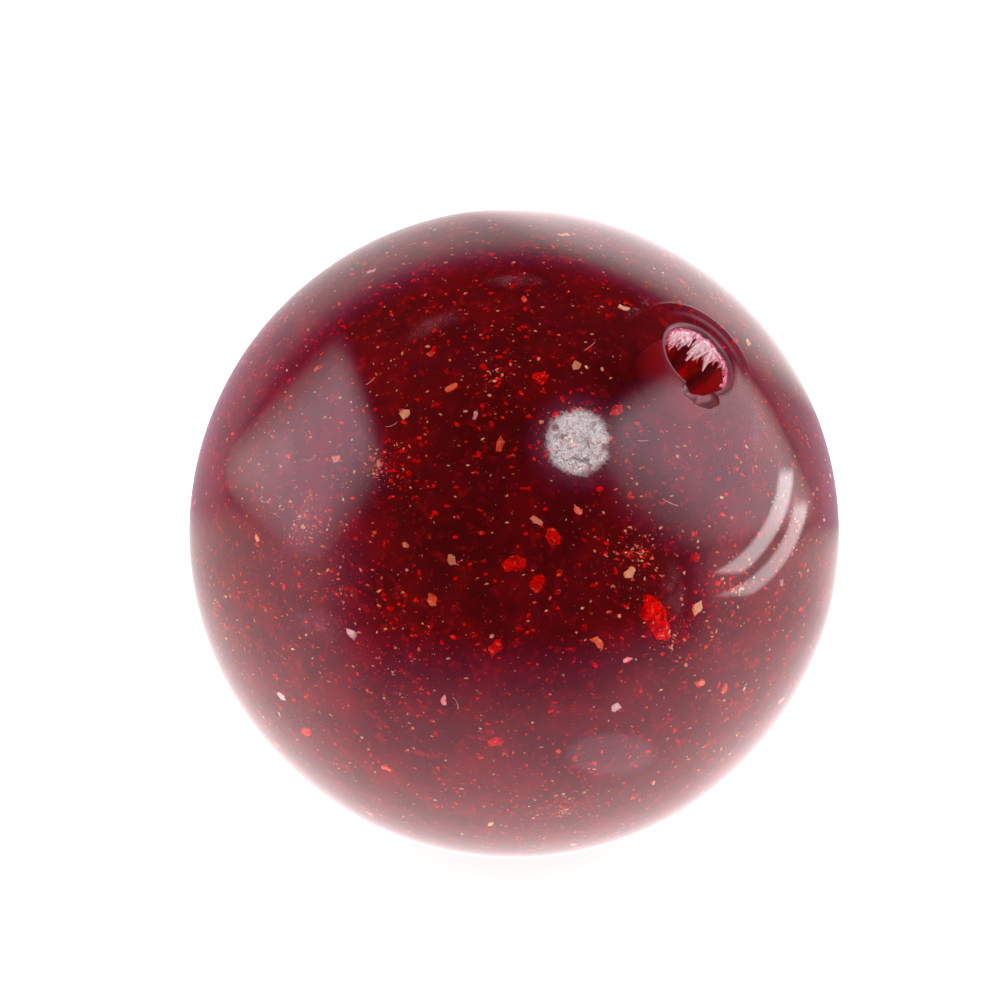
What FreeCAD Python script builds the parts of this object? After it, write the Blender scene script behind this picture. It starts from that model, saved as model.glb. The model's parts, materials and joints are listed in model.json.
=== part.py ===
import FreeCAD, Part
import math
import os
import random

# Undrilled ball, in millimetres. The origin is the ball's centre and +Z is up.
ball_r = 108.0              # 8.5 in across
cover_thick = 25.0          # translucent cast cover
core_r = ball_r - cover_thick

# Thumb hole: bored towards the ball's centre through a wide hand-worked dish
thumb_lift = 48.2           # degrees above the horizon
thumb_turn = -37.3          # degrees from +X towards +Y
thumb_r = 11.9              # 15/16 in hole
thumb_floor = 40.0          # distance of the hole's floor from the ball's centre
dish_r = 22.0
dish_start_slope = 3.0      # degrees, where the dish leaves the ball's surface
dish_end_slope = 17.0       # degrees, beside the hole
dish_edge_r = 1.2           # rolled edge where the dish turns down into the hole

# Finger holes: a pair on the far side of the grip, each lined with a soft tube
finger_lift = 25.0
finger_turn = 41.5
finger_r = 12.3             # 31/32 in hole
bridge = 9.5                # land between the two finger holes
finger_pitch = 9.5          # the holes aim this far to each side of the centre
finger_depth = 45.0
insert_bore_r = 10.5
insert_length = 28.6
insert_flare = 1.3          # the tube's lip opens by this much
insert_flare_depth = 2.0

# Weight block on the pin's axis, shaped like a light bulb
pin_lift = -5.0
pin_turn = 75.0
pin_r = 3.2
bulb_r = 34.0
bulb_centre = -4.0
neck_r = 14.0
neck_start = 34.0
block_top = 50.0

# Flakes cast into the cover: turn and lift in degrees, depth under the surface,
# length, width and spin about the outward direction
red_places = [
    (-65, 8, 9, 18, 10, 138),
    (-90, 20, 6, 9, 5, 15),
    (-86, 17, 7, 7, 5, 60),
    (-83, 24, 5, 6, 5, 130),
    (-83, 51, 4, 6, 5, 10),
    (-66, 44, 5, 5, 3, 60),
    (-93, 6, 5, 6, 4, 50),
    (-93, -12, 5, 6, 3, 20),
    (-130, -18, 5, 6, 3, 170),
]
gold_places = [
    (-115, 43, 3, 5, 3, 40),
    (-48, 62, 3, 5, 3, 0),
    (-58, 9, 4, 5, 4, 80),
    (-73, 53, 4, 4, 3, 30),
    (-86, 27, 6, 5, 2, 160),
    (-70, 17, 4, 5, 3, 95),
    (-101, 20, 7, 4, 3, 120),
]
amber_places = [
    (-106, 49, 6, 5, 3, 30),
    (-93, 40, 8, 5, 3, 75),
    (-76, 6, 6, 5, 3, 140),
    (-104, 13, 7, 5, 3, 100),
    (-57, -5, 5, 5, 3, 20),
]
silver_places = [
    (-73, -6, 3, 4, 3, 20),
    (-99, 44, 3, 4, 2, 65),
    (-118, 5, 5, 5, 3, 110),
]
flake_thick = {"red_chips": 1.3, "gold_flakes": 0.5, "amber_chips": 0.9, "silver_flakes": 0.4}
flake_corners = [5, 6]
corner_jitter = 0.25        # share of the step between corners that one may be off by
corner_reach = 0.75         # least distance of a corner from the middle, as a share of the largest
flake_tilt = 25.0           # most that a flake tips away from lying along the surface
flake_seed = 8

# The rest of the flakes, on a spiral round the ball
spiral_kinds = ["gold_flakes", "red_chips", "amber_chips", "gold_flakes", "silver_flakes"]
spiral_count = 90
spiral_step = 137.508       # degrees between neighbours, which spreads them evenly
spiral_depth = (4.0, 14.0)
spiral_length = (1.8, 4.6)
spiral_slimness = 0.6       # width as a share of length
flake_gap = 13.0            # least distance between two flakes' centres
bore_gap = 9.0              # least distance from a flake's centre to a hole's wall

tool_clear = 6.0            # cutting tools reach this far out of the ball


def direction(lift, turn):
    lift = math.radians(lift)
    turn = math.radians(turn)
    flat = math.cos(lift)
    return FreeCAD.Vector(flat * math.cos(turn), flat * math.sin(turn), math.sin(lift))


def aimed(shape, way, start=FreeCAD.Vector()):
    """A shape made on +Z, turned onto a direction and moved to its start."""
    turn = FreeCAD.Rotation(FreeCAD.Vector(0, 0, 1), way)
    shape.Placement = FreeCAD.Placement(start, turn)
    return shape


def turned(outline):
    """The solid that a closed outline of edges in the XZ plane makes around Z."""
    face = Part.Face(Part.Wire(outline))
    return face.revolve(FreeCAD.Vector(), FreeCAD.Vector(0, 0, 1), 360)


def point(out, up):
    return FreeCAD.Vector(out, 0, up)


def line(a, b):
    return Part.LineSegment(a, b).toShape()


def arc(a, middle, b):
    return Part.Arc(a, middle, b).toShape()


def arc_at(centre, radius, slope):
    """A point on a convex arc where its tangent falls inwards by this slope."""
    slope = math.radians(slope)
    return centre + point(radius * -math.sin(slope), radius * math.cos(slope))


thumb_way = direction(thumb_lift, thumb_turn)
finger_middle = direction(finger_lift, finger_turn)
across = finger_middle.cross(thumb_way).normalize()
pin_way = direction(pin_lift, pin_turn)


def finger_axis(side):
    """Where a finger hole meets the ball's surface, and the way out of it."""
    half = finger_r + bridge / 2
    out = math.sqrt(ball_r ** 2 - half ** 2)
    mouth = finger_middle * out + across * (half * side)
    aim = across * (finger_pitch * side)
    return mouth, (mouth - aim).normalize()


finger_axes = {"middle": finger_axis(-1), "ring": finger_axis(1)}


def dish_sections():
    """Centres and radii of the dish's slope and its rolled edge, on the thumb's axis."""
    start = math.radians(dish_start_slope)
    end = math.radians(dish_end_slope)
    edge_out = thumb_r + dish_edge_r * (1 - math.sin(end))
    slope_r = (dish_r - edge_out) / (math.sin(end) - math.sin(start))
    crease_up = math.sqrt(ball_r ** 2 - dish_r ** 2)
    slope_centre = point(dish_r + slope_r * math.sin(start), crease_up - slope_r * math.cos(start))
    edge = arc_at(slope_centre, slope_r, dish_end_slope)
    edge_centre = edge - point(dish_edge_r * -math.sin(end), dish_edge_r * math.cos(end))
    return slope_centre, slope_r, edge_centre


def thumb_tool():
    """Everything that the thumb hole and its dish take out of the ball."""
    slope_centre, slope_r, edge_centre = dish_sections()
    start = math.radians(dish_start_slope)
    crease = arc_at(slope_centre, slope_r, dish_start_slope)
    outside = crease + point(tool_clear * math.cos(start), tool_clear * math.sin(start))
    middle = arc_at(slope_centre, slope_r, (dish_start_slope + dish_end_slope) / 2)
    edge = arc_at(slope_centre, slope_r, dish_end_slope)
    edge_middle = arc_at(edge_centre, dish_edge_r, (dish_end_slope + 90) / 2)
    wall_top = point(thumb_r, edge_centre.z)
    top = ball_r + tool_clear
    outline = [
        line(point(0, thumb_floor), point(thumb_r, thumb_floor)),
        line(point(thumb_r, thumb_floor), wall_top),
        arc(wall_top, edge_middle, edge),
        arc(edge, middle, crease),
        line(crease, outside),
        line(outside, point(outside.x, top)),
        line(point(outside.x, top), point(0, top)),
        line(point(0, top), point(0, thumb_floor)),
    ]
    return aimed(turned(outline), thumb_way)


def finger_tool(side_name):
    mouth, way = finger_axes[side_name]
    floor = mouth - way * finger_depth
    return Part.makeCylinder(finger_r, finger_depth + tool_clear, floor, way)


def pin_tool():
    return Part.makeCylinder(pin_r, ball_r - block_top, pin_way * block_top, pin_way)


def weight_block():
    """A round bulb low on the pin's axis, with a neck that reaches up to the pin."""
    centre = point(0, bulb_centre)
    corner = math.radians(45)
    shoulder = centre + point(bulb_r * math.cos(corner), bulb_r * math.sin(corner))
    bottom = centre - point(0, bulb_r)
    outline = [
        arc(bottom, centre + point(bulb_r * math.cos(corner), -bulb_r * math.sin(corner)), shoulder),
        line(shoulder, point(neck_r, neck_start)),
        line(point(neck_r, neck_start), point(neck_r, block_top)),
        line(point(neck_r, block_top), point(0, block_top)),
        line(point(0, block_top), bottom),
    ]
    return aimed(turned(outline), pin_way)


def filler_body():
    """The dense inner ball, moulded round the weight block and drilled with the cover."""
    tools = [thumb_tool(), weight_block(), pin_tool()]
    tools += [finger_tool(name) for name in finger_axes]
    return Part.makeSphere(core_r).cut(tools)


def locator_pin():
    """The peg that held the block in the mould. Its top is turned flush with the ball."""
    beyond = Part.makeCylinder(pin_r, ball_r, pin_way * block_top, pin_way)
    return beyond.common(Part.makeSphere(ball_r))


def finger_insert(side_name):
    """A soft lining tube with a flared lip, bonded in and sanded flush with the ball."""
    mouth, way = finger_axes[side_name]
    start = mouth - way * insert_length
    length = insert_length + tool_clear
    tube = Part.makeCylinder(finger_r, length, start, way)
    bore = Part.makeCylinder(insert_bore_r, length, start, way)
    flare_start = mouth - way * insert_flare_depth
    flare_length = insert_flare_depth + tool_clear
    flare_end_r = insert_bore_r + insert_flare * flare_length / insert_flare_depth
    flare = Part.makeCone(insert_bore_r, flare_end_r, flare_length, flare_start, way)
    return tube.cut([bore, flare]).common(Part.makeSphere(ball_r))


def flake(place, thick, shaker):
    """A thin chip with five or six uneven corners, lying nearly along the ball's surface."""
    turn, lift, depth, length, width, spin = place
    corners = shaker.choice(flake_corners)
    points = []
    for k in range(corners):
        angle = 2 * math.pi * (k + shaker.uniform(-corner_jitter, corner_jitter)) / corners
        reach = shaker.uniform(corner_reach, 1.0) / 2
        points.append(FreeCAD.Vector(length * reach * math.cos(angle), width * reach * math.sin(angle), 0))
    chip = Part.Face(Part.makePolygon(points + points[:1])).extrude(FreeCAD.Vector(0, 0, thick))
    chip.rotate(FreeCAD.Vector(), FreeCAD.Vector(1, 0, 0), shaker.uniform(-flake_tilt, flake_tilt))
    chip.rotate(FreeCAD.Vector(), FreeCAD.Vector(0, 0, 1), spin)
    way = direction(lift, turn)
    outwards = FreeCAD.Rotation(FreeCAD.Vector(0, 0, 1), way)
    chip.Placement = FreeCAD.Placement(way * (ball_r - depth), outwards).multiply(chip.Placement)
    return chip


def clear_of_holes(spot):
    holes = [(FreeCAD.Vector(), thumb_way, dish_r), (FreeCAD.Vector(), pin_way, pin_r)]
    holes += [(mouth, way, finger_r) for mouth, way in finger_axes.values()]
    for start, way, radius in holes:
        along = (spot - start).dot(way)
        off = (spot - start - way * along).Length
        if spot.dot(way) > 0 and off < radius + bore_gap:
            return False
    return True


def spiral_places(taken, shaker):
    """Flakes for the rest of the ball, spread on a spiral and kept off the holes."""
    places = {kind: [] for kind in flake_thick}
    for k in range(spiral_count):
        lift = math.degrees(math.asin(1 - 2 * (k + 0.5) / spiral_count))
        turn = (k * spiral_step) % 360
        depth = shaker.uniform(*spiral_depth)
        spot = direction(lift, turn) * (ball_r - depth)
        near = any((spot - other).Length < flake_gap for other in taken)
        if near or not clear_of_holes(spot):
            continue
        taken.append(spot)
        kind = spiral_kinds[k % len(spiral_kinds)]
        length = shaker.uniform(*spiral_length)
        width = length * spiral_slimness
        places[kind].append((turn, lift, depth, length, width, shaker.uniform(0, 180)))
    return places


def flake_groups():
    shaker = random.Random(flake_seed)
    chosen = {
        "red_chips": red_places,
        "gold_flakes": gold_places,
        "amber_chips": amber_places,
        "silver_flakes": silver_places,
    }
    taken = []
    for places in chosen.values():
        for turn, lift, depth, *_ in places:
            taken.append(direction(lift, turn) * (ball_r - depth))
    others = spiral_places(taken, shaker)
    groups = {}
    for kind, places in chosen.items():
        everywhere = places + others[kind]
        groups[kind] = [flake(place, flake_thick[kind], shaker) for place in everywhere]
    return groups


def cover_shell(groups):
    """The cast cover, with a pocket for each flake that it was poured around."""
    tools = [thumb_tool(), pin_tool(), Part.makeSphere(core_r)]
    tools += [finger_tool(name) for name in finger_axes]
    shell = Part.makeSphere(ball_r).cut(tools)
    for flakes in groups.values():
        shell = shell.cut(flakes)
    return shell


def build():
    groups = flake_groups()
    shapes = {
        "cover_shell": cover_shell(groups),
        "filler_body": filler_body(),
        "weight_block": weight_block(),
        "locator_pin": locator_pin(),
        "middle_finger_insert": finger_insert("middle"),
        "ring_finger_insert": finger_insert("ring"),
    }
    for kind, flakes in groups.items():
        shapes[kind] = Part.makeCompound(flakes)
    return shapes


os.makedirs("parts", exist_ok=True)
for name, shape in build().items():
    shape.exportStep("parts/" + name + ".step")
    volume = round(shape.Volume / 1000, 2)
    print(name, "solids", len(shape.Solids), "volume", volume, "valid", shape.isValid())
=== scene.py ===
# Drilled bowling ball: a clear crimson cover cast round flakes, over a dark filler ball.
import json
import math
import random

import bmesh
import bpy
from mathutils import Matrix, Vector, noise


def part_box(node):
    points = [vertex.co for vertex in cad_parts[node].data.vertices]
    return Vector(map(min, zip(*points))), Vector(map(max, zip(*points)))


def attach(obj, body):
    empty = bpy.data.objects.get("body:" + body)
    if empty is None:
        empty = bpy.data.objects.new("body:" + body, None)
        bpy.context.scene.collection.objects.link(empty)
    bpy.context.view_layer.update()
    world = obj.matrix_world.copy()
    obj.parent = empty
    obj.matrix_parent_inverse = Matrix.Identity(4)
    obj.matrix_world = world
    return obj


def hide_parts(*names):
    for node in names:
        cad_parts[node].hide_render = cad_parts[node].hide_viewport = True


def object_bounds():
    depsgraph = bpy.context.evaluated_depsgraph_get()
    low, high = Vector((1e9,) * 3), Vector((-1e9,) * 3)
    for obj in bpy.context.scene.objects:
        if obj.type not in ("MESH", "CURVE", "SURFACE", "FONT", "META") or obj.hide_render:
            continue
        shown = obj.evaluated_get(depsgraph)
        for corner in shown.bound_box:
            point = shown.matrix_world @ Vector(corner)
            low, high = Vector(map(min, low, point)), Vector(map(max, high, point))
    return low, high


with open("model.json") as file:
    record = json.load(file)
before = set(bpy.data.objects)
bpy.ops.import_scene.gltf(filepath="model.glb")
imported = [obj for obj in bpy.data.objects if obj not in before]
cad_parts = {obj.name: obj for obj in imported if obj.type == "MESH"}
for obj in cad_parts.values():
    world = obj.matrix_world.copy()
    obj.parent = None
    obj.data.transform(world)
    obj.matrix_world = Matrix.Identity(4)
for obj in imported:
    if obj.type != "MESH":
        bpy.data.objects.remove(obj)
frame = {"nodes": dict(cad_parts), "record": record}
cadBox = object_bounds()
print("stage: frame loaded")

mm = 0.001
upAxis = Vector((0, 0, 1))
noise.seed_set(8)


class Signal:
    # a node's output that can be used in sums
    def __init__(self, paint, socket):
        self.paint = paint
        self.socket = socket

    def maths(self, operation, first, second):
        return self.paint.node("ShaderNodeMath", {"operation": operation}, {0: first, 1: second})

    def __add__(self, other):
        return self.maths("ADD", self, other)

    def __radd__(self, other):
        return self.maths("ADD", other, self)

    def __sub__(self, other):
        return self.maths("SUBTRACT", self, other)

    def __rsub__(self, other):
        return self.maths("SUBTRACT", other, self)

    def __mul__(self, other):
        return self.maths("MULTIPLY", self, other)

    def __rmul__(self, other):
        return self.maths("MULTIPLY", other, self)

    def __pow__(self, other):
        return self.maths("POWER", self, other)

    def orMore(self, other):
        return self.maths("MAXIMUM", self, other)


class Paint:
    # the node tree of a material, or of the world
    def __init__(self, block, ending="ShaderNodeOutputMaterial"):
        self.block = block
        block.use_nodes = True
        self.tree = block.node_tree
        self.tree.nodes.clear()
        self.output = self.tree.nodes.new(ending)

    def node(self, kind, settings, sockets, result=0):
        made = self.tree.nodes.new(kind)
        for setting, value in settings.items():
            setattr(made, setting, value)
        for socket, value in sockets.items():
            if isinstance(value, Signal):
                self.tree.links.new(value.socket, made.inputs[socket])
            else:
                made.inputs[socket].default_value = value
        return Signal(self, made.outputs[result])

    def place(self, scale=(1, 1, 1), turn=(0, 0, 0)):
        spot = self.node("ShaderNodeTexCoord", {}, {}, "Object")
        return self.node("ShaderNodeMapping", {}, {"Vector": spot, "Rotation": turn, "Scale": scale})

    def noise(self, size, detail=3.0, rough=0.5, warp=0.0, place=None):
        # soft cloudy pattern, from 0 to 1; size is the width of one cloud
        sockets = {"Vector": place or self.place(), "Scale": 1 / size}
        sockets.update({"Detail": detail, "Roughness": rough, "Distortion": warp})
        return self.node("ShaderNodeTexNoise", {}, sockets)

    def band(self, value, low, high, lowOut=0.0, highOut=1.0, ease="SMOOTHSTEP"):
        sockets = {"Value": value, "From Min": low, "From Max": high, "To Min": lowOut, "To Max": highOut}
        return self.node("ShaderNodeMapRange", {"interpolation_type": ease}, sockets)

    def blend(self, share, first, second):
        settings = {"data_type": "RGBA", "blend_type": "MIX"}
        return self.node("ShaderNodeMix", settings, {0: share, 6: first, 7: second}, 2)

    def vectors(self, operation, sockets, result=0):
        return self.node("ShaderNodeVectorMath", {"operation": operation}, sockets, result)

    def bump(self, height, depth, strength=1.0):
        return self.node("ShaderNodeBump", {}, {"Height": height, "Distance": depth, "Strength": strength})

    def finish(self, sockets):
        shader = self.node("ShaderNodeBsdfPrincipled", {}, sockets, "BSDF")
        self.tree.links.new(shader.socket, self.output.inputs["Surface"])
        return self.block


def newPaint(name):
    return Paint(bpy.data.materials.new(name))


def colour(red, green, blue):
    return (red, green, blue, 1)


# the record's facts about the holes and the ball
mounts = {mount["name"]: mount for mount in frame["record"]["mounts"]}
ballRadius = (cadBox[1].z - cadBox[0].z) / 2
fillerRadius = (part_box("filler_body")[1].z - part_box("filler_body")[0].z) / 2
thumb = {
    "way": Vector(mounts["thumb_hole"]["axis"]).normalized(),
    "radius": mounts["thumb_hole"]["dims"]["r_mm"] * mm,
}


# materials
coverResin = {
    "tint": colour(1.0, 0.92, 0.95),
    "cloudTint": colour(1.0, 0.84, 0.92),
    "bend": 1.53,
    "depthColour": colour(0.97, 0.03, 0.16),
    "density": 36.0,
    "cloud": 30 * mm,
    "rippleWidth": 9 * mm,
    "ripple": 0.012 * mm,
    "boreRough": 0.32,
    "drillMarks": 0.9 * mm,
    "drillDepth": 0.03 * mm,
}


def addDepthColour(paint):
    # the resin takes green and blue out of the light that goes through it
    sockets = {"Color": coverResin["depthColour"], "Density": coverResin["density"]}
    absorb = paint.node("ShaderNodeVolumeAbsorption", {}, sockets)
    paint.tree.links.new(absorb.socket, paint.output.inputs["Volume"])


def makeCoverResin():
    paint = newPaint("coverResin")
    ripple = paint.noise(coverResin["rippleWidth"], 2)
    cloud = paint.band(paint.noise(coverResin["cloud"], 3), 0.4, 0.7)
    addDepthColour(paint)
    return paint.finish({
        "Base Color": paint.blend(cloud, coverResin["tint"], coverResin["cloudTint"]),
        "Roughness": 0.0,
        "IOR": coverResin["bend"],
        "Transmission Weight": 1.0,
        "Normal": paint.bump(ripple, coverResin["ripple"]),
    })


def makeSatinResin(name, tint, clear):
    # the same resin where the drill left it satin
    paint = newPaint(name)
    addDepthColour(paint)
    marks = paint.noise(coverResin["drillMarks"], 3, 0.6)
    return paint.finish({
        "Base Color": tint,
        "Roughness": coverResin["boreRough"],
        "IOR": coverResin["bend"],
        "Transmission Weight": clear,
        "Normal": paint.bump(marks, coverResin["drillDepth"]),
    })


fillerResin = {
    "dark": colour(0.055, 0.001, 0.001),
    "light": colour(0.125, 0.002, 0.003),
    "violet": colour(0.08, 0.003, 0.035),
    "dustTone": colour(0.27, 0.008, 0.010),
    "mottle": 13 * mm,
    "cloud": 34 * mm,
    "dust": 3.2 * mm,
    "bump": 0.2 * mm,
}


def makeFillerResin():
    # deep crimson with soft red clouds, a violet cast in places, and fine dust
    paint = newPaint("fillerResin")
    mottle = paint.band(paint.noise(fillerResin["mottle"], 4, 0.55), 0.38, 0.72)
    body = paint.blend(mottle, fillerResin["dark"], fillerResin["light"])
    cloud = paint.band(paint.noise(fillerResin["cloud"], 3, 0.6, 0.8), 0.50, 0.70)
    body = paint.blend(cloud * 0.5, body, fillerResin["violet"])
    dust = paint.band(paint.noise(fillerResin["dust"], 5, 0.65), 0.55, 0.66)
    body = paint.blend(dust * 0.65, body, fillerResin["dustTone"])
    skin = paint.bump(mottle, fillerResin["bump"])
    return paint.finish({"Base Color": body, "Roughness": 0.7, "Normal": skin})


# the third size is that of the painted glint patches, a painted highlight
chipPattern = {"patch": 3.5 * mm, "crinkle": 0.6 * mm, "paintedGlint": 1.3 * mm, "bump": 0.25 * mm}


def makeChip(name, deep, bright, paintedGlint, shine, gloss):
    # a cast flake: two close colours over the set, paler patches painted in as glints (a painted highlight
    # in the base colour), and a crinkled face
    paint = newPaint(name)
    patch = paint.band(paint.noise(chipPattern["patch"], 3), 0.35, 0.65)
    crinkle = paint.noise(chipPattern["crinkle"], 4, 0.65)
    tone = paint.blend(patch, deep, bright)
    # painted highlight: paler glint patches mixed into the flake's base colour
    tone = paint.blend(paint.band(paint.noise(chipPattern["paintedGlint"], 3, 0.6), 0.56, 0.68), tone, paintedGlint)
    return paint.finish({
        "Base Color": tone,
        "Metallic": shine,
        "Roughness": paint.band(crinkle, 0.3, 0.7, 0.28, 0.48),
        "Specular IOR Level": gloss,
        "Normal": paint.bump(crinkle, chipPattern["bump"]),
    })


def makePlain(name, base, worn, rough, grain, depth):
    # a solid moulded part with grain and worn patches
    paint = newPaint(name)
    fine = paint.noise(grain, 4, 0.6)
    patch = paint.band(paint.noise(grain * 12, 3), 0.4, 0.7)
    return paint.finish({
        "Base Color": paint.blend(patch, base, worn),
        "Roughness": paint.band(fine, 0.3, 0.7, rough, rough + 0.15),
        "Normal": paint.bump(fine, depth),
    })


frost = {
    # the crests start and are full this far in from the bore's wall
    "crestFrom": 0.4 * mm,
    "crestFull": 1.5 * mm,
    "wander": 2 * mm,
    "tear": 1.1 * mm,
    "bump": 0.5 * mm,
    "root": colour(0.70, 0.16, 0.28),
    "crest": colour(1.0, 0.80, 0.86),
}


def makeFrost():
    # torn resin: white crests that stand in from the wall of the bore, and pink roots
    paint = newPaint("frostedResin")
    spot = paint.node("ShaderNodeTexCoord", {}, {}, "Object")
    across = paint.vectors("CROSS_PRODUCT", {0: spot, 1: thumb["way"]})
    fromAxis = paint.vectors("LENGTH", {0: across}, "Value")
    tear = paint.noise(frost["tear"], 4, 0.65)
    shaken = fromAxis + (tear - 0.5) * frost["wander"]
    crest = paint.band(shaken, thumb["radius"] - frost["crestFrom"], thumb["radius"] - frost["crestFull"])
    return paint.finish({
        "Base Color": paint.blend(crest, frost["root"], frost["crest"]),
        "Roughness": 0.4,
        "Subsurface Weight": 0.25,
        "Subsurface Radius": (0.002, 0.0006, 0.0006),
        "Normal": paint.bump(tear, frost["bump"]),
    })


wisps = {
    "tone": colour(0.92, 0.72, 1.0),
    "thickest": 0.17,
    "smoke": 5 * mm,
    "waveLength": 7 * mm,
    "waveHeight": 0.8 * mm,
    # turn, lift, depth in mm, length, width and spin of each sheet
    "places": [
        (-16, 63, 1.5, 20, 11, 10), (-42, 61, 2.0, 20, 6, 60), (-33, 33, 2.5, 26, 9, 100),
        (-34, 18, 2.5, 24, 8, 80), (-62, 12, 5.0, 30, 12, 120), (-118, 60, 3.0, 26, 10, 20),
        (-140, 30, 3.5, 30, 12, 100), (-125, 5, 5.0, 30, 14, 150), (-90, 72, 2.5, 24, 8, 0),
        (-20, -5, 4.0, 30, 14, 40), (40, 60, 3.0, 28, 10, 70), (100, 20, 4.0, 34, 14, 30),
        (160, 45, 3.0, 30, 12, 110), (190, -10, 4.0, 34, 14, 60), (60, -30, 4.0, 34, 14, 140),
        (-80, -45, 4.0, 30, 12, 15),
    ],
}


def makeWisp():
    # thin lavender smoke in the resin, fading to nothing at the edges of its sheet
    paint = newPaint("wisp")
    spot = paint.node("ShaderNodeTexCoord", {}, {}, "UV")
    middle = paint.vectors("SUBTRACT", {0: spot, 1: (0.5, 0.5, 0)})
    reach = paint.vectors("LENGTH", {0: middle}, "Value")
    smoke = paint.band(paint.noise(wisps["smoke"], 4, 0.6, 1.5), 0.30, 0.75)
    return paint.finish({
        "Base Color": wisps["tone"],
        "Roughness": 0.8,
        "Specular IOR Level": 0.0,
        "Alpha": smoke * paint.band(reach, 0.5, 0.0) * wisps["thickest"],
    })


blockGrey = (colour(0.33, 0.31, 0.30), colour(0.22, 0.21, 0.2), 0.6, 0.8 * mm, 0.2 * mm)
pinCream = (colour(0.86, 0.80, 0.62), colour(0.74, 0.66, 0.46), 0.35, 0.4 * mm, 0.05 * mm)
rubberBlack = (colour(0.018, 0.018, 0.02), colour(0.05, 0.045, 0.045), 0.55, 0.3 * mm, 0.08 * mm)
# the third colour of each flake is its painted glint, a painted highlight
redTones = (colour(0.50, 0.001, 0.001), colour(0.94, 0.008, 0.004), colour(1.0, 0.18, 0.05), 0.0, 0.05)
amberTones = (colour(0.85, 0.20, 0.06), colour(1.0, 0.40, 0.14), colour(1.0, 0.72, 0.34), 0.0, 0.1)
goldTones = (colour(0.80, 0.66, 0.26), colour(1.0, 0.96, 0.50), colour(1.0, 1.0, 0.80), 0.0, 0.5)
silverTones = (colour(0.78, 0.78, 0.74), colour(0.97, 0.98, 0.96), colour(1.0, 1.0, 1.0), 0.5, 0.5)
finishes = {
    "coverResin": makeCoverResin(),
    "boreResin": makeSatinResin("boreResin", coverResin["cloudTint"], 1.0),
    "rimResin": makeSatinResin("rimResin", colour(0.52, 0.22, 0.28), 0.9),
    "fillerResin": makeFillerResin(),
    "redChip": makeChip("redChip", *redTones),
    "amberChip": makeChip("amberChip", *amberTones),
    "goldFlake": makeChip("goldFlake", *goldTones),
    "silverFlake": makeChip("silverFlake", *silverTones),
    "blockCasting": makePlain("blockCasting", *blockGrey),
    "pinPlastic": makePlain("pinPlastic", *pinCream),
    "insertRubber": makePlain("insertRubber", *rubberBlack),
    "frostedResin": makeFrost(),
    "wisp": makeWisp(),
}
print("stage: materials made")


def newObject(name, bm):
    mesh = bpy.data.meshes.new(name)
    bm.to_mesh(mesh)
    bm.free()
    made = bpy.data.objects.new(name, mesh)
    bpy.context.scene.collection.objects.link(made)
    return made


def addPiece(name, bm, finish, smoothAngle=None):
    piece = newObject(name, bm)
    piece.data.materials.append(finishes[finish])
    if smoothAngle is not None:
        piece.data.shade_smooth()
        piece.data.set_sharp_from_angle(angle=math.radians(smoothAngle))
    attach(piece, "root")
    return piece


def towards(way):
    # turns +Z onto a direction
    return upAxis.rotation_difference(way).to_matrix().to_4x4()


def spinBy(degrees):
    return Matrix.Rotation(math.radians(degrees), 4, "Z")


def heading(turn, lift):
    # a direction from degrees round the ball from +X and degrees above the horizon
    turn = math.radians(turn)
    lift = math.radians(lift)
    return Vector((math.cos(lift) * math.cos(turn), math.cos(lift) * math.sin(turn), math.sin(lift)))


def roundHole(turn):
    # a direction across the thumb hole, in degrees round its axis from uphill
    uphill = (upAxis - thumb["way"] * thumb["way"].z).normalized()
    return Matrix.Rotation(math.radians(turn), 3, thumb["way"]) @ uphill


cover = {
    "dishRadius": 22.0 * mm,
    "startSlope": 3.0,
    "endSlope": 17.0,
    "edgeRadius": 1.2 * mm,
    "backRadius": fillerRadius - 1.5 * mm,
    "rimWidth": 1.2 * mm,
    "wallFoot": 13.5 * mm,
    "creaseRound": 0.7 * mm,
    "smoothAngle": 25,
    "arcSteps": 110,
    "dishSteps": 40,
    "edgeSteps": 8,
    "wallSteps": 4,
    "backSteps": 60,
    "turnSteps": 256,
    "merge": 0.002 * mm,
    "wallMargin": 0.02 * mm,
}


def drawArc(bm, start, centre, angle, steps):
    # an arc in the XZ plane, drawn on from a vertex; returns its last vertex
    drawn = bmesh.ops.spin(
        bm, geom=[start], cent=centre, axis=(0, 1, 0), angle=math.radians(angle),
        steps=steps, use_merge=False)
    return [item for item in drawn["geom_last"] if isinstance(item, bmesh.types.BMVert)][0]


def drawLine(bm, start, end):
    drawn = bmesh.ops.extrude_vert_indiv(bm, verts=[start])["verts"][0]
    drawn.co = end
    return drawn


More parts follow.
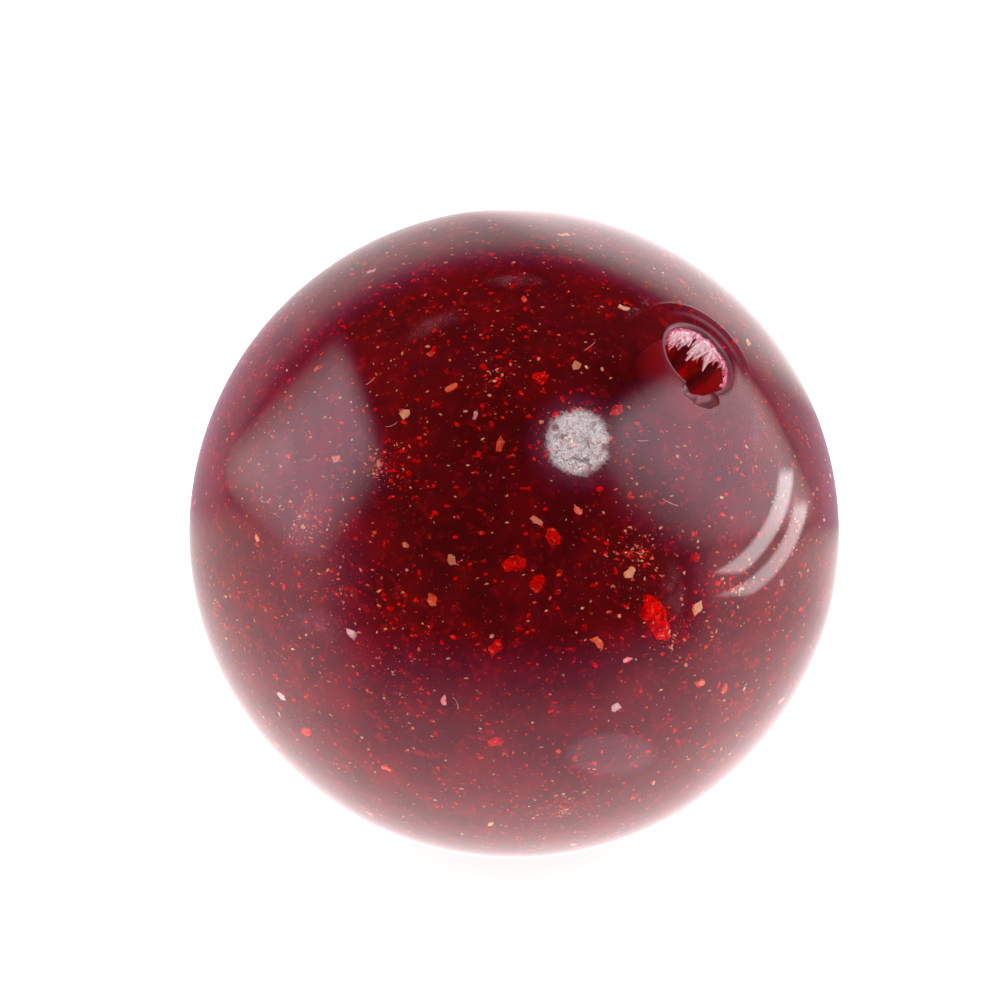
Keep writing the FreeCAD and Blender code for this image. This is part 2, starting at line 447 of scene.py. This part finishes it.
def makeCover():
    bm = bmesh.new()
    startSlope = math.radians(cover["startSlope"])
    endSlope = math.radians(cover["endSlope"])
    edge = cover["edgeRadius"]
    slopeRadius = (cover["dishRadius"] - edgeOut()) / (math.sin(endSlope) - math.sin(startSlope))
    creaseUp = math.sqrt(ballRadius ** 2 - cover["dishRadius"] ** 2)
    slopeCentre = Vector((cover["dishRadius"] + slopeRadius * math.sin(startSlope), 0,
                          creaseUp - slopeRadius * math.cos(startSlope)))
    crease = math.degrees(math.asin(cover["dishRadius"] / ballRadius))
    pole = bmesh.ops.create_vert(bm, co=(0, 0, -ballRadius))["vert"][0]
    creaseVert = drawArc(bm, pole, (0, 0, 0), crease - 180, cover["arcSteps"])
    spot = drawArc(bm, creaseVert, slopeCentre, cover["startSlope"] - cover["endSlope"], cover["dishSteps"])
    cover["edgeUp"] = spot.co.z
    edgeCentre = spot.co + Vector((edge * math.sin(endSlope), 0, -edge * math.cos(endSlope)))
    spot = drawArc(bm, spot, edgeCentre, cover["endSlope"] - 90, cover["edgeSteps"])
    cover["wallTop"] = edgeCentre.z
    wallEnd = math.sqrt(fillerRadius ** 2 - thumb["radius"] ** 2)
    for step in range(cover["wallSteps"]):
        up = edgeCentre.z + (wallEnd - edgeCentre.z) * (step + 1) / cover["wallSteps"]
        spot = drawLine(bm, spot, (thumb["radius"], 0, up))
    back = cover["backRadius"]
    footAngle = math.asin(cover["wallFoot"] / back)
    spot = drawLine(bm, spot, (cover["wallFoot"], 0, back * math.cos(footAngle)))
    drawArc(bm, spot, (0, 0, 0), 180 - math.degrees(footAngle), cover["backSteps"])
    bmesh.ops.bevel(bm, geom=[creaseVert], affect="VERTICES", offset=cover["creaseRound"], segments=4,
                    profile=0.5, material=-1)
    bmesh.ops.spin(bm, geom=bm.verts[:] + bm.edges[:], cent=(0, 0, 0), axis=(0, 0, 1),
                   angle=2 * math.pi, steps=cover["turnSteps"], use_merge=True)
    bmesh.ops.remove_doubles(bm, verts=bm.verts[:], dist=cover["merge"])
    bmesh.ops.recalc_face_normals(bm, faces=bm.faces[:])
    for face in bm.faces:
        middle = face.calc_center_median()
        out = math.hypot(middle.x, middle.y)
        if middle.z > fillerRadius * 0.9 and out < thumb["radius"] + cover["rimWidth"]:
            face.material_index = 1 if out < thumb["radius"] + cover["wallMargin"] else 2
    bmesh.ops.transform(bm, matrix=towards(thumb["way"]), verts=bm.verts[:])
    workDish(bm)
    piece = addPiece("castCover", bm, "coverResin", cover["smoothAngle"])
    piece.data.materials.append(finishes["boreResin"])
    piece.data.materials.append(finishes["rimResin"])
    return piece


dishShape = {
    # a soft ring at the hole, and on one side a low ridge with a step down inside it
    "ringWidth": 5.0 * mm,
    "ringDepth": 0.5 * mm,
    "stepTurn": -40.0,
    "stepFull": 45.0,
    "stepEnd": 100.0,
    "stepDepth": 0.2 * mm,
    "stepWidth": 3.6 * mm,
    "ridgeInset": 0.9 * mm,
    "ridgeWidth": 0.4 * mm,
    "ridgeUp": 0.06 * mm,
}


rimBite = {
    # where a chip has broken out of the thumb hole's edge, and its half sizes
    "turn": 138.0,
    "out": 14.0 * mm,
    "along": 7.0 * mm,
    "across": 4.6 * mm,
    "deep": 3.6 * mm,
    "up": 1 * mm,
    "lumps": 0.8 * mm,
    "coarse": 2.2 * mm,
    "fine": 0.9 * mm,
}


def turnOf(outwards):
    # the degrees round the thumb hole, from uphill, of a direction across it
    uphill = roundHole(0)
    return math.degrees(math.atan2(outwards.dot(thumb["way"].cross(uphill)), outwards.dot(uphill)))


def eased(share):
    share = min(1.0, max(0.0, share))
    return share * share * (3 - 2 * share)


def dishDepth(out, turn):
    # how far the worked dish lies under the ball's round surface
    ring = max(0.0, 1 - (out - thumb["radius"]) / dishShape["ringWidth"])
    away = abs((turn - dishShape["stepTurn"] + 180) % 360 - 180)
    share = eased((dishShape["stepEnd"] - away) / (dishShape["stepEnd"] - dishShape["stepFull"]))
    inset = cover["dishRadius"] - dishShape["ridgeInset"] - out
    step = eased(inset / dishShape["stepWidth"]) * dishShape["stepDepth"]
    ridge = math.exp(-(inset / dishShape["ridgeWidth"]) ** 2) * dishShape["ridgeUp"]
    return dishShape["ringDepth"] * ring * ring + (step - ridge) * share


def edgeOut():
    # how far from its axis the thumb hole's rounded edge meets the dish
    return thumb["radius"] + cover["edgeRadius"] * (1 - math.sin(math.radians(cover["endSlope"])))


def wallRise(turn):
    # how far the hole's edge moves up where the dish is shallower than the plain one
    return math.sqrt(ballRadius ** 2 - edgeOut() ** 2) - dishDepth(edgeOut(), turn) - cover["edgeUp"]


def workDish(bm):
    for vert in bm.verts:
        up = vert.co.dot(thumb["way"])
        outwards = vert.co - thumb["way"] * up
        out = outwards.length
        if up < 0 or out > cover["dishRadius"] or vert.co.length < fillerRadius - 1 * mm:
            continue
        turn = turnOf(outwards)
        if out > edgeOut():
            vert.co += thumb["way"] * (math.sqrt(ballRadius ** 2 - out ** 2) - dishDepth(out, turn) - up)
        else:
            share = (up - fillerRadius) / (cover["wallTop"] - fillerRadius)
            vert.co += thumb["way"] * wallRise(turn) * min(1.0, max(0.0, share))


bores = {
    "reach": 70 * mm,
    "insert": 12.25 * mm,
    "insertSteps": 96,
    "pin": 3.15 * mm,
    "pinSteps": 48,
}


def addCutter(bm, way, through, radius, segments):
    # a long plug on an axis that passes through a point
    place = Matrix.Translation(through) @ towards(way)
    bmesh.ops.create_cone(bm, cap_ends=True, segments=segments, radius1=radius, radius2=radius,
                          depth=bores["reach"], matrix=place)


def addBite(bm):
    outwards = roundHole(rimBite["turn"])
    sideways = thumb["way"].cross(outwards)
    rise = cover["wallTop"] + wallRise(rimBite["turn"])
    middle = outwards * rimBite["out"] + thumb["way"] * (rise + rimBite["up"])
    frameOf = Matrix((outwards, sideways, thumb["way"])).transposed().to_4x4()
    size = Matrix.Diagonal((rimBite["across"], rimBite["along"], rimBite["deep"], 1))
    lay = Matrix.Translation(middle) @ frameOf @ size
    made = bmesh.ops.create_icosphere(bm, subdivisions=4, radius=1, matrix=lay)
    for vert in made["verts"]:
        fine = abs(noise.noise(vert.co / rimBite["fine"]))
        push = noise.noise(vert.co / rimBite["coarse"]) + 0.5 * fine
        vert.co += (vert.co - middle).normalized() * push * rimBite["lumps"]
        for face in vert.link_faces:
            face.material_index = 2


def cutHoles(piece):
    bm = bmesh.new()
    for name in ("middle_finger_hole", "ring_finger_hole"):
        mount = mounts[name]
        addCutter(bm, Vector(mount["axis"]), Vector(mount["pos_m"]), bores["insert"], bores["insertSteps"])
    low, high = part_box("locator_pin")
    pinWay = ((low + high) / 2).normalized()
    addCutter(bm, pinWay, pinWay * ballRadius, bores["pin"], bores["pinSteps"])
    addBite(bm)
    plugs = newObject("plugs", bm)
    for material in piece.data.materials:
        plugs.data.materials.append(material)
    cut = piece.modifiers.new("holes", "BOOLEAN")
    cut.operation = "DIFFERENCE"
    cut.solver = "EXACT"
    cut.object = plugs
    bpy.context.view_layer.update()
    graph = bpy.context.evaluated_depsgraph_get()
    result = bpy.data.meshes.new_from_object(piece.evaluated_get(graph))
    piece.modifiers.clear()
    piece.data = result
    result.shade_smooth()
    result.set_sharp_from_angle(angle=math.radians(cover["smoothAngle"]))
    bpy.data.objects.remove(plugs)


castCover = makeCover()
cutHoles(castCover)
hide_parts("cover_shell")
print("stage: cover made", len(castCover.data.polygons), [slot.name for slot in castCover.data.materials])


burr = {
    # torn resin along the far edge of the thumb hole: turn, length and width of each clump of splinters
    "seed": 11,
    "start": 12,
    "end": -166,
    "clumps": [
        (3, 3.5, 16), (-13, 8.0, 19), (-29, 12.0, 19), (-39, 9.5, 12), (-51, 3.0, 14), (-66, 10.5, 19),
        (-84, 8.8, 19), (-98, 5.0, 14), (-110, 3.8, 15), (-128, 2.0, 18), (-149, 1.2, 20),
    ],
    "least": 1.3,
    "count": 260,
    "shortest": 0.35,
    "thin": 0.45 * mm,
    "thick": 0.75 * mm,
    "swell": 0.07,
    "tip": 0.2,
    "leanIn": 0.35,
    "leanAside": 0.4,
    "cuts": 3,
    "lumps": 0.45 * mm,
    "coarse": 1.6 * mm,
    "fine": 0.5 * mm,
}


def burrLength(turn):
    # how far the burr hangs here, in mm
    length = burr["least"]
    for middle, most, width in burr["clumps"]:
        length = max(length, most * max(0.0, 1 - abs(turn - middle) / (width * 0.6)) ** 0.6)
    return length


def crumple(bm, coarse, fine, coarsePush, finePush):
    # moves every corner by a coarse and a fine noise
    for vert in bm.verts:
        push = noise.noise_vector(vert.co / coarse) * coarsePush
        vert.co += push + noise.noise_vector(vert.co / fine) * finePush


def makeBurr():
    shaker = random.Random(burr["seed"])
    bm = bmesh.new()
    for _ in range(burr["count"]):
        turn = shaker.uniform(burr["end"], burr["start"])
        outwards = roundHole(turn)
        sideways = thumb["way"].cross(outwards)
        most = burrLength(turn)
        length = most * shaker.uniform(burr["shortest"], 1.0) * mm
        thick = shaker.uniform(burr["thin"], burr["thick"]) + length * burr["swell"]
        inwards = outwards * shaker.uniform(0.0, burr["leanIn"])
        down = -thumb["way"] - inwards + sideways * shaker.uniform(-burr["leanAside"], burr["leanAside"])
        down.normalize()
        top = cover["wallTop"] + wallRise(turn) - shaker.uniform(0.0, 0.15) * most * mm
        root = outwards * (thumb["radius"] - shaker.uniform(-0.2, 0.5) * mm) + thumb["way"] * top
        lay = Matrix.Translation(root + down * length / 2) @ towards(down)
        bmesh.ops.create_cone(bm, cap_ends=True, segments=shaker.choice((4, 5, 6)), radius1=thick,
                              radius2=thick * burr["tip"], depth=length, matrix=lay)
    bmesh.ops.subdivide_edges(bm, edges=bm.edges[:], cuts=burr["cuts"], use_grid_fill=True)
    crumple(bm, burr["coarse"], burr["fine"], burr["lumps"], burr["lumps"] * 0.5)
    bmesh.ops.recalc_face_normals(bm, faces=bm.faces[:])
    addPiece("drillBurr", bm, "frostedResin")


makeBurr()
print("stage: burr made")


# the finish of each node; the flake nodes are replaced further down by torn copies
nodeFinish = {
    "filler_body": "fillerResin",
    "weight_block": "blockCasting",
    "locator_pin": "pinPlastic",
    "middle_finger_insert": "insertRubber",
    "ring_finger_insert": "insertRubber",
    "red_chips": "redChip",
    "gold_flakes": "goldFlake",
    "amber_chips": "amberChip",
    "silver_flakes": "silverFlake",
}
for node, finish in nodeFinish.items():
    data = frame["nodes"][node].data
    data.materials.clear()
    data.materials.append(finishes[finish])


# the large flakes again, with torn edges and crumpled faces
tornFlakes = {
    # node: new piece, finish, slot, how rough
    "red_chips": ("tornRedChips", "redChip", "red_chip", 1.0),
    "gold_flakes": ("tornGoldFlakes", "goldFlake", "gold_flake", 0.7),
    "amber_chips": ("tornAmberChips", "amberChip", "amber_chip", 0.7),
    "silver_flakes": ("tornSilverFlakes", "silverFlake", "silver_flake", 0.6),
}


tearing = {
    "merge": 0.001 * mm,
    "cuts": 7,
    "coarse": 2.6 * mm,
    "fine": 0.8 * mm,
    "coarsePush": 1.1,
    "finePush": 0.35,
}


def makeTorn(node):
    name, finish, slot, rough = tornFlakes[node]
    bm = bmesh.new()
    bm.from_mesh(frame["nodes"][node].data)
    bmesh.ops.remove_doubles(bm, verts=bm.verts[:], dist=tearing["merge"])
    bmesh.ops.subdivide_edges(bm, edges=bm.edges[:], cuts=tearing["cuts"], use_grid_fill=True)
    crumple(bm, tearing["coarse"], tearing["fine"], tearing["coarsePush"] * rough * mm,
            tearing["finePush"] * rough * mm)
    bmesh.ops.recalc_face_normals(bm, faces=bm.faces[:])
    piece = addPiece(name, bm, finish)
    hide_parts(node)


for tornName in tornFlakes:
    makeTorn(tornName)
print("stage: large flakes torn")


dust = {
    # name: finish, slot, how many, smallest, largest, shallowest, deepest (mm), share in clusters
    "goldDust": ("goldFlake", "gold_flake", 5000, 0.25, 1.8, 0.3, 3.5, 0.4),
    "paleDust": ("silverFlake", "silver_flake", 900, 0.2, 1.0, 0.3, 3.5, 0.3),
    "redDust": ("redChip", "red_chip", 11000, 0.3, 2.5, 2, 21, 0.15),
    "amberDust": ("amberChip", "amber_chip", 3200, 0.3, 1.7, 0.5, 6, 0.25),
}
clusters = [
    # turn, lift and spread in degrees
    (-131, 22, 5), (-117, 34, 4), (-68, 20, 4), (-49, 10, 5), (-63, 5, 5), (-120, 12, 9), (-95, 52, 8),
    (-110, 0, 10), (-30, 15, 8), (10, 50, 8), (60, 25, 8), (100, 40, 7), (150, 10, 8), (180, 35, 8),
    (210, -5, 9), (120, -20, 8), (20, -15, 8), (-80, -30, 9), (90, -50, 9),
]
fleck = {
    "firstSeed": 20,
    "sizePower": 4,
    "narrow": 0.4,
    "wide": 0.9,
    "flat": 0.25,
    "lowerRadius": 0.5,
    "upperRadius": 0.35,
    "clusterSpread": 1.7,
    "thumbClear": 23.5 * mm,
    "fingerClear": 13.5 * mm,
    "batch": 1200,
}
holeAxes = [(thumb["way"], Vector(), fleck["thumbClear"])]
for holeName in ("middle_finger_hole", "ring_finger_hole"):
    holeMount = mounts[holeName]
    holeAxes.append((Vector(holeMount["axis"]), Vector(holeMount["pos_m"]), fleck["fingerClear"]))


def inResin(spot):
    # true where a fleck has resin all round it
    for way, through, radius in holeAxes:
        away = spot - through
        along = away.dot(way)
        if spot.dot(way) > 0 and (away - way * along).length < radius:
            return False
    return True


def anyWay(shaker):
    return Vector([shaker.gauss(0, 1) for _ in range(3)]).normalized()


def dustWay(shaker, clustered):
    if shaker.random() > clustered:
        return anyWay(shaker)
    turn, lift, spread = shaker.choice(clusters)
    stray = anyWay(shaker) * math.radians(spread) * abs(shaker.gauss(0, fleck["clusterSpread"]))
    return (heading(turn, lift) + stray).normalized()


def makeDust(name, seed):
    finish, slot, count, small, large, shallow, deep, clustered = dust[name]
    shaker = random.Random(seed)
    whole = bmesh.new()
    heap = bpy.data.meshes.new("heap")
    made = 0
    while made < count:
        batch = bmesh.new()
        while len(batch.verts) < fleck["batch"]:
            depth = shaker.uniform(shallow, deep) * mm
            spot = dustWay(shaker, clustered) * (ballRadius - depth)
            if not inResin(spot):
                continue
            size = (small + (large - small) * shaker.random() ** fleck["sizePower"]) * mm
            turn = Matrix.Rotation(shaker.uniform(0, 6.28), 4, anyWay(shaker))
            width = size * shaker.uniform(fleck["narrow"], fleck["wide"])
            lay = Matrix.Translation(spot) @ turn @ Matrix.Diagonal((size, width, size * fleck["flat"], 1))
            bmesh.ops.create_cone(
                batch, cap_ends=True, segments=shaker.choice((3, 4, 5)),
                radius1=fleck["lowerRadius"], radius2=fleck["upperRadius"], depth=1, matrix=lay)
            made += 1
        batch.to_mesh(heap)
        batch.free()
        whole.from_mesh(heap)
    bpy.data.meshes.remove(heap)
    addPiece(name, whole, finish)


for index, dustName in enumerate(dust):
    makeDust(dustName, fleck["firstSeed"] + index)
    print("stage:", dustName)


def makeWisps():
    bm = bmesh.new()
    bm.loops.layers.uv.new("spread")
    for turn, lift, depth, length, width, spin in wisps["places"]:
        way = heading(turn, lift)
        lay = towards(way) @ spinBy(spin) @ Matrix.Diagonal((length, width, 1, 1))
        made = bmesh.ops.create_grid(
            bm, x_segments=16, y_segments=8, size=0.5 * mm, matrix=lay, calc_uvs=True)
        for vert in made["verts"]:
            wave = noise.noise(vert.co / wisps["waveLength"]) * wisps["waveHeight"]
            vert.co = (way * ballRadius + vert.co).normalized() * (ballRadius - depth * mm + wave)
    addPiece("wisps", bm, "wisp", 180)


lint = {
    # turn, lift, depth in mm, length in mm, spin and bend in degrees of each fibre
    "fibres": [
        (-99, -5, 0.8, 4.5, 160, 60), (-134, 31, 0.8, 5.0, 40, 80), (-127, 46, 0.8, 3.5, 100, 30),
        (-118, 40, 1.0, 4.0, 70, 50), (-62, 28, 1.0, 5.5, 75, 20), (-64, 38, 1.0, 3.5, 95, 25),
        (-142, 22, 1.0, 6.0, 10, 90), (-70, 55, 1.2, 5.0, 130, 20), (30, 20, 0.8, 5.0, 20, 70),
        (120, 30, 0.8, 4.0, 90, 60), (170, 5, 0.8, 5.0, 40, 40), (60, -20, 1.0, 5.0, 140, 80),
    ],
    "thick": 0.1 * mm,
    "corners": 5,
    "steps": 12,
}


def makeLint():
    # hair-thin fibres caught in the resin, each a ring of corners spun round a bend
    bm = bmesh.new()
    for turn, lift, depth, length, spin, bend in lint["fibres"]:
        way = heading(turn, lift)
        lay = Matrix.Translation(way * (ballRadius - depth * mm)) @ towards(way) @ spinBy(spin)
        made = bmesh.ops.create_circle(bm, cap_ends=True, segments=lint["corners"], radius=lint["thick"])
        start = made["verts"]
        bmesh.ops.rotate(bm, verts=start, matrix=Matrix.Rotation(math.radians(90), 3, "X"))
        radius = length * mm / math.radians(bend)
        geom = start + list({edge for vert in start for edge in vert.link_edges})
        geom += list({face for vert in start for face in vert.link_faces})
        before = set(bm.verts)
        bmesh.ops.spin(bm, geom=geom, cent=(radius, 0, 0), axis=(0, 0, 1), angle=math.radians(bend),
                       steps=lint["steps"], use_merge=False)
        made = start + [vert for vert in bm.verts if vert not in before]
        bmesh.ops.transform(bm, matrix=lay, verts=made)
    bmesh.ops.recalc_face_normals(bm, faces=bm.faces[:])
    addPiece("lintFibres", bm, "silverFlake", 60)


makeWisps()
makeLint()
print("stage: wisps and fibres made")


studio = {
    "lens": 100.0,
    "distance": 0.9294,
    "lift": 25.0,
    "aimRight": -4.7 * mm,
    "aimUp": 11.0 * mm,
    "tent": colour(1.35, 1.0, 1.22),
    "lampTone": colour(1.03, 1.0, 1.02),
    "tentEdge": colour(1.12, 1.0, 1.02),
    "fringe": colour(1.3, 0.2, 0.95),
    "resinLight": colour(1.0, 0.97, 0.97),
    "softLight": colour(1, 0.98, 0.98),
    "softLevel": 1.5,
    "mapScale": 1.04,
    "floorTone": colour(0.5, 0.495, 0.49),
    "floorGlow": 0.84,
}
lift = math.radians(studio["lift"])
cameraBack = Vector((0, -math.cos(lift), math.sin(lift)))
cameraUp = Vector((0, math.sin(lift), math.cos(lift)))
cameraRight = Vector((1, 0, 0))

# what stands round the ball, placed by where the ball's gloss shows it: shares of the ball's radius
# to the right of and above its middle
leftBox = {
    "level": 2.35,
    "corners": [(-0.53, 0.56), (-0.91, 0.20), (-0.64, -0.12), (-0.415, 0.24)],
    "soft": [0.10, 0.10, 0.10, 0.05],
}
rightBox = {
    "level": 2.25,
    "corners": [
        (0.62, 0.56), (0.46, 0.48), (0.30, 0.37), (0.30, 0.20),
        (0.66, -0.06), (0.94, 0.06), (0.82, 0.36), (0.72, 0.50),
    ],
    "soft": [0.07, 0.08, 0.05, 0.15, 0.08, 0.06, 0.05, 0.05],
}
roundLamp = {
    # the last four shape the cover's fibres: sizes, how far they fray the edge, and their light and dark
    "level": 10.6,
    "middle": (0.195, 0.277),
    "radius": 0.096,
    "soft": 0.012,
    "halo": 0.55,
    "sizes": (0.026, 0.04),
    "fray": (0.07, 0.03),
    "fibres": (0.36, 0.60, 0.45, 1.25),
    "flecks": (0.58, 0.66, 1.0, 0.4),
}
backdrop = {
    # each pair is where a light starts and where it is full; a longer row adds its two levels
    "floor": (-0.315, -0.86, 0, 1.6, "LINEAR"),
    "floorCurve": 0.22,
    "nearRight": (0.15, 0.5),
    "nearRightUp": (-0.2, -0.4, 0, 0.11),
    "leftWall": (-0.38, -0.70),
    "leftWallUp": (0.30, -0.10),
    "rightWall": (0.48, 0.68),
    "rightWallUp": (0.16, -0.10),
    "rightWallFade": (-0.1, -0.35, 1.2, 0.8),
    "wallsUnderFloor": 0.45,
    "topRightWay": (0.5, 0.866),
    "topRight": (0.79, 0.91, 0, 0.8),
    "top": (0.5, 0.95, 0, 0.3),
    "rim": (0.80, 0.94),
    "rimLevel": 0.6,
}
oval = {"middle": (0.15, -0.68), "squash": 0.5, "reach": (0.08, 0.05), "level": 0.7}
insideRing = {
    # light on the flakes from in front, behind, the two sides and above
    "level": 7.6,
    "front": (0.35, -0.20, 0.08, 1.0),
    "back": (-0.3, -0.9, 1.0, 0.35),
    "sides": 0.45,
    "above": (-0.1, 0.8, 1.0, 0.35),
}
strips = [
    # middle and radius of each bent strip, half its width, its lower and upper ends, and its level
    (0.447, 0.216, 0.399, 0.019, -0.13, 0.215, 5.2),
    (0.515, 0.155, 0.384, 0.018, -0.20, 0.115, 3.8),
]


def insidePatch(paint, across, up, box):
    # 1 inside a patch whose corners go round anticlockwise, with soft edges
    inside = None
    corners = [Vector(corner) for corner in box["corners"]]
    for index, start in enumerate(corners):
        along = (corners[(index + 1) % len(corners)] - start).normalized()
        inward = Vector((-along.y, along.x))
        soft = box["soft"][index]
        offset = start.dot(inward)
        side = paint.band(across * inward.x + up * inward.y, offset - soft, offset + soft)
        inside = side if inside is None else inside * side
    return inside


def distanceTo(across, up, middle):
    return ((across - middle[0]) ** 2 + (up - middle[1]) ** 2) ** 0.5


def studioLight(paint, across, up):
    # how bright the surroundings are in each direction
    reach = (across * across + up * up) ** 0.5
    nearRight = paint.band(across, *backdrop["nearRight"]) * paint.band(up, *backdrop["nearRightUp"])
    floorLight = paint.band(up - across * across * backdrop["floorCurve"] - nearRight, *backdrop["floor"])
    leftWall = paint.band(across, *backdrop["leftWall"]) * paint.band(up, *backdrop["leftWallUp"])
    rightWall = paint.band(across, *backdrop["rightWall"]) * paint.band(up, *backdrop["rightWallUp"])
    rightWall = rightWall * paint.band(up, *backdrop["rightWallFade"])
    wayAcross, wayUp = backdrop["topRightWay"]
    topLight = paint.band(across * wayAcross + up * wayUp, *backdrop["topRight"])
    topLight = topLight + paint.band(up, *backdrop["top"])
    edge = paint.band(reach, *backdrop["rim"]) * (topLight + backdrop["rimLevel"])
    walls = (leftWall + rightWall) * (1 - floorLight * backdrop["wallsUnderFloor"])
    total = (floorLight + walls).orMore(edge)
    for box in (leftBox, rightBox):
        total = total.orMore(insidePatch(paint, across, up, box) * box["level"])
    ovalReach = distanceTo(across * oval["squash"], up, oval["middle"])
    total = total + paint.band(ovalReach, *oval["reach"]) * oval["level"]
    for middleAcross, middleUp, radius, half, low, high, level in strips:
        ring = distanceTo(across, up, (middleAcross, middleUp)) - radius
        band = paint.band(ring * ring, (half * 1.6) ** 2, (half * 0.6) ** 2)
        ends = paint.band(up, low, low + 0.02) * paint.band(up, high, high - 0.05)
        total = total + band * ends * paint.band(across, 0.6, 0.62) * level
    return total + lampLight(paint, across, up)


def lampLight(paint, across, up):
    # a round lamp with a fibrous cover
    spot = paint.node("ShaderNodeCombineXYZ", {}, {"X": across, "Y": up})
    fibreSize, fleckSize = roundLamp["sizes"]
    fibreFray, fleckFray = roundLamp["fray"]
    fibres = paint.noise(fibreSize, 3, 0.75, 3.0, spot)
    flecks = paint.noise(fleckSize, 2, 0.5, 0.5, spot)
    away = distanceTo(across, up, roundLamp["middle"])
    away = away + (fibres - 0.5) * fibreFray + (flecks - 0.5) * fleckFray
    radius = roundLamp["radius"]
    disc = paint.band(away, radius + roundLamp["soft"], radius - roundLamp["soft"])
    weave = paint.band(fibres, *roundLamp["fibres"]) * paint.band(flecks, *roundLamp["flecks"])
    halo = paint.band(away, radius * 1.9, radius * 0.9) * roundLamp["halo"]
    return disc * weave * roundLamp["level"] + halo * (1 - disc)


def insideLight(paint, way):
    # what reaches the flakes through the resin: strong from the sides, weak from the front and back
    facing = paint.vectors("DOT_PRODUCT", {0: way, 1: cameraBack}, "Value")
    rightward = paint.vectors("DOT_PRODUCT", {0: way, 1: cameraRight}, "Value")
    upward = paint.vectors("DOT_PRODUCT", {0: way, 1: cameraUp}, "Value")
    ring = paint.band(facing, *insideRing["front"]) * paint.band(facing, *insideRing["back"])
    sides = rightward * rightward * insideRing["sides"] + paint.band(upward, *insideRing["above"])
    return ring * sides * insideRing["level"]


def makeWorld():
    world = bpy.data.worlds.new("studio")
    bpy.context.scene.world = world
    paint = Paint(world, "ShaderNodeOutputWorld")
    way = paint.node("ShaderNodeTexCoord", {}, {}, "Generated")
    halfway = paint.vectors("NORMALIZE", {0: paint.vectors("ADD", {0: way, 1: cameraBack})})
    across = paint.vectors("DOT_PRODUCT", {0: halfway, 1: cameraRight}, "Value") * studio["mapScale"]
    up = paint.vectors("DOT_PRODUCT", {0: halfway, 1: cameraUp}, "Value") * studio["mapScale"]
    level = studioLight(paint, across, up)
    reach = (across * across + up * up) ** 0.5
    tone = paint.blend(paint.band(reach, 0.6, 0.95), studio["tent"], studio["tentEdge"])
    tone = paint.blend(paint.band(level, 0.0, 0.9), studio["fringe"], tone)
    tone = paint.blend(paint.band(level, 2.5, 4.0), tone, studio["lampTone"])

    def light(shade, strength):
        return paint.node("ShaderNodeBackground", {}, {"Color": shade, "Strength": strength})

    lit = light(studio["softLight"], studio["softLevel"])
    rays = {
        "Is Glossy Ray": light(tone, level),
        "Is Transmission Ray": light(studio["resinLight"], insideLight(paint, way)),
        "Is Camera Ray": light(colour(1, 1, 1), 1.0),
    }
    for ray, shader in rays.items():
        asked = paint.node("ShaderNodeLightPath", {}, {}, ray)
        lit = paint.node("ShaderNodeMixShader", {}, {0: asked, 1: lit, 2: shader})
    paint.tree.links.new(lit.socket, paint.output.inputs["Surface"])


def makeFloor():
    bm = bmesh.new()
    bmesh.ops.create_grid(bm, x_segments=2, y_segments=2, size=6)
    bmesh.ops.translate(bm, verts=bm.verts[:], vec=(0, 0, cadBox[0].z))
    floor = newObject("paleFloor", bm)
    floor.data.materials.append(newPaint("paleFloor").finish({
        "Base Color": studio["floorTone"],
        "Roughness": 0.9,
        "Specular IOR Level": 0.0,
        "Emission Color": colour(1, 0.995, 0.99),
        "Emission Strength": studio["floorGlow"],
    }))
    floor.visible_glossy = False
    floor.visible_transmission = False


def makeCamera():
    data = bpy.data.cameras.new("camera")
    data.lens = studio["lens"]
    data.sensor_width = 36
    data.clip_end = 50
    camera = bpy.data.objects.new("camera", data)
    bpy.context.scene.collection.objects.link(camera)
    place = cameraBack * studio["distance"]
    target = cameraRight * studio["aimRight"] + cameraUp * studio["aimUp"]
    camera.location = place
    camera.rotation_euler = (target - place).to_track_quat("-Z", "Y").to_euler()
    bpy.context.scene.camera = camera


makeWorld()
makeFloor()
makeCamera()
bpy.context.scene.view_settings.view_transform = "Standard"
print("stage: studio made")
